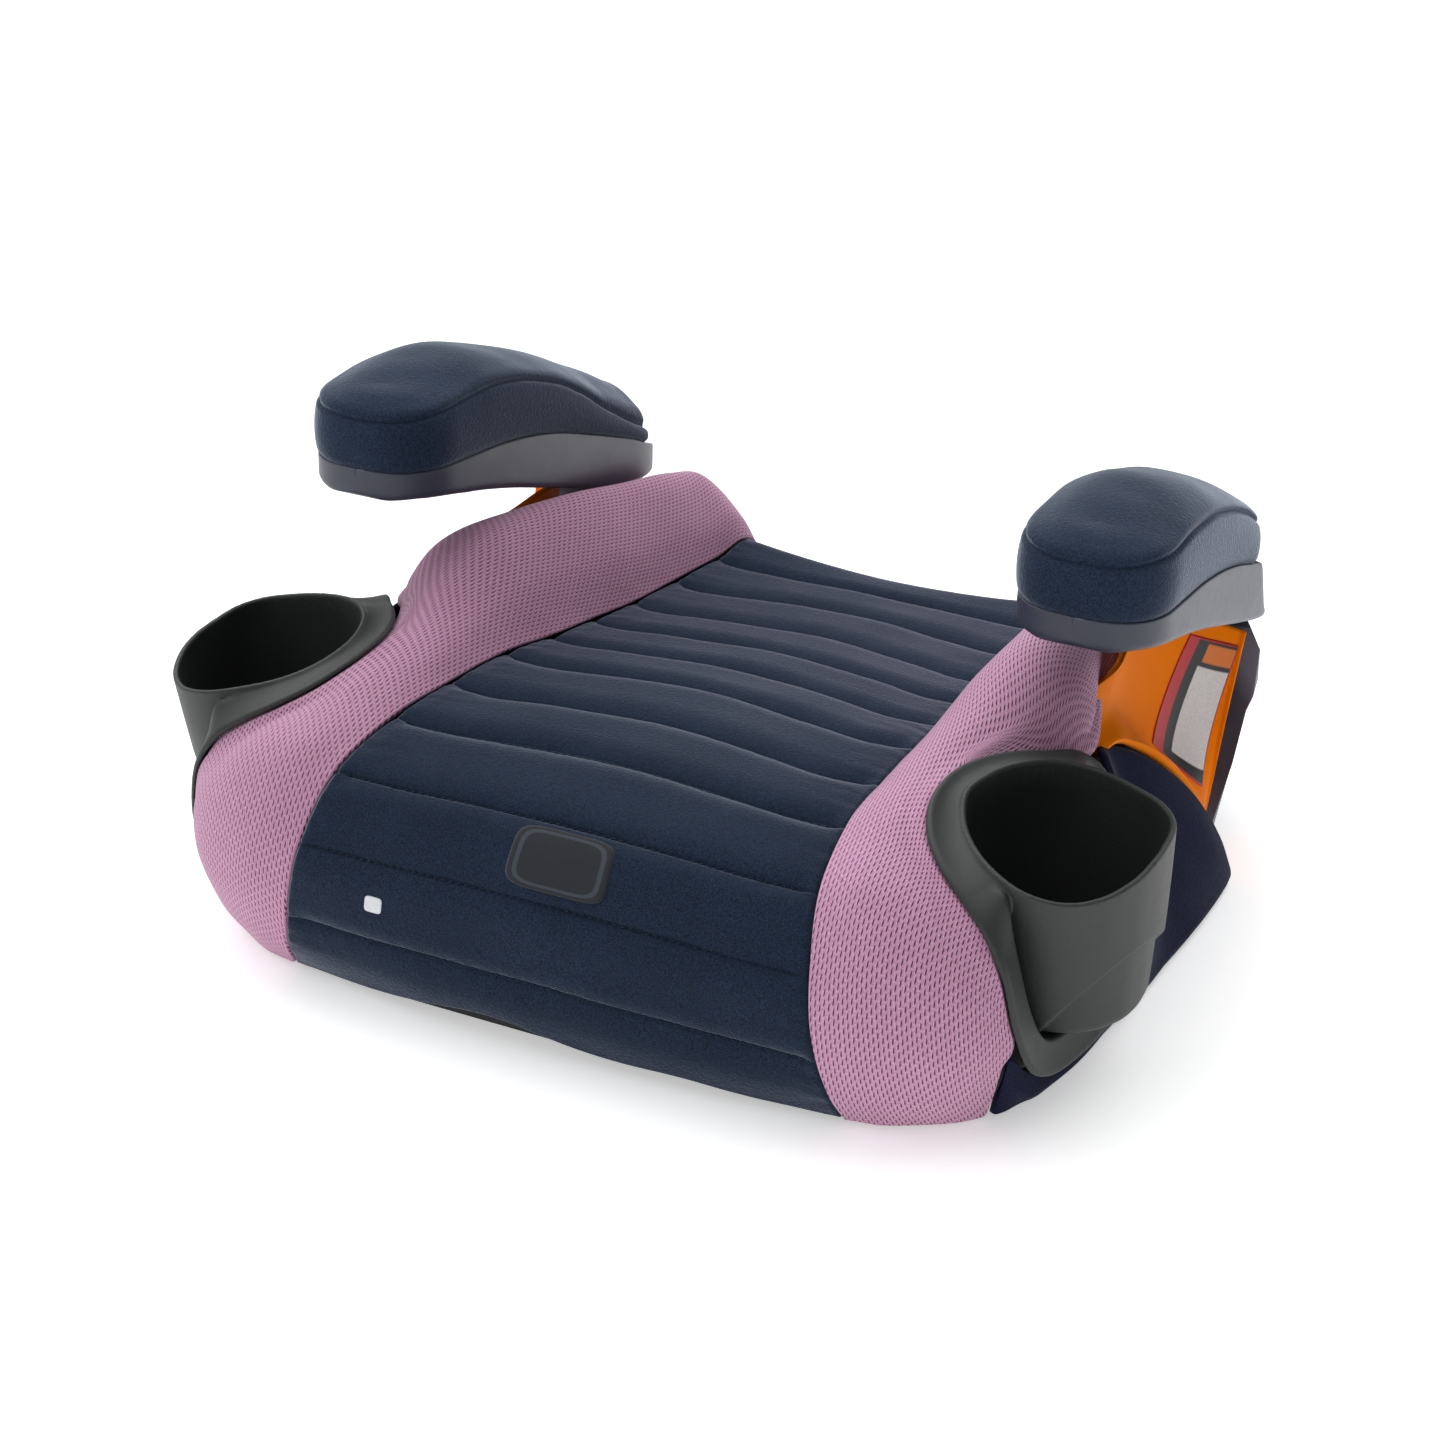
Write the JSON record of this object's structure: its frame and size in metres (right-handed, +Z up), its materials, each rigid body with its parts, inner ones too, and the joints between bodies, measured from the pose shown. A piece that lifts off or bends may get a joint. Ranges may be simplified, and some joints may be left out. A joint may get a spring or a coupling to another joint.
{
  "type": "booster seat",
  "caption": "Backless child booster seat with quilted cover, mesh side bolsters, padded cantilevered armrests over lap-belt guides, and removable side cup holders.",
  "frame": {"origin": "on the floor plane under the middle of the overall bounding box", "axes": "+X to the right in a front view, +Y towards the rear of the seat, +Z up"},
  "size_m": [0.4434, 0.4012, 0.2173],
  "materials": {
    "black_plastic": "fine moulded texture",
    "foam": "cut foam",
    "navy_fabric": "fine knit with quilting",
    "pink_mesh": "spacer mesh with small slanted holes",
    "dark_fabric": "smooth knit",
    "patch_cloth": "woven label with stitched border",
    "label_white": "printed film",
    "slate_plastic": "satin moulded",
    "orange_plastic": "satin gloss",
    "soft_charcoal": "soft touch",
    "steel": "zinc plated",
    "foot_rubber": "matt"
  },
  "bodies": {
    "seat": {"base_shell": "black_plastic", "base_tray": "black_plastic", "seat_foam": "foam", "bolster_foam_left": "foam", "bolster_foam_right": "foam", "centre_cover": "navy_fabric", "bolster_cover_left": "pink_mesh", "bolster_cover_right": "pink_mesh", "side_panel_left": "dark_fabric", "side_panel_right": "dark_fabric", "cover_patch": "patch_cloth", "cover_tab": "label_white", "armrest_shell_left": "slate_plastic", "armrest_shell_right": "slate_plastic", "armrest_foam_left": "foam", "armrest_foam_right": "foam", "armrest_cover_left": "navy_fabric", "armrest_cover_right": "navy_fabric", "side_post_left": "slate_plastic", "side_post_right": "slate_plastic", "belt_guide_left": "orange_plastic", "belt_guide_right": "orange_plastic", "guide_label_left": "label_white", "guide_label_right": "label_white", "cup_bracket_left": "black_plastic", "cup_bracket_right": "black_plastic", "tray_screws": "steel", "post_screws": "steel", "armrest_screws": "steel", "bracket_screws": "steel", "foot_pads": "foot_rubber"},
    "cup_left": {"cup_holder_left": "soft_charcoal"},
    "cup_right": {"cup_holder_right": "soft_charcoal"}
  },
  "joints": [
    {"name": "cup_left_pull", "type": "slide", "parent": "seat", "child": "cup_left", "axis": [-1, 0, 0], "range_m": [0, 0.085]},
    {"name": "cup_right_pull", "type": "slide", "parent": "seat", "child": "cup_right", "axis": [1, 0, 0], "range_m": [0, 0.085]}
  ]
}
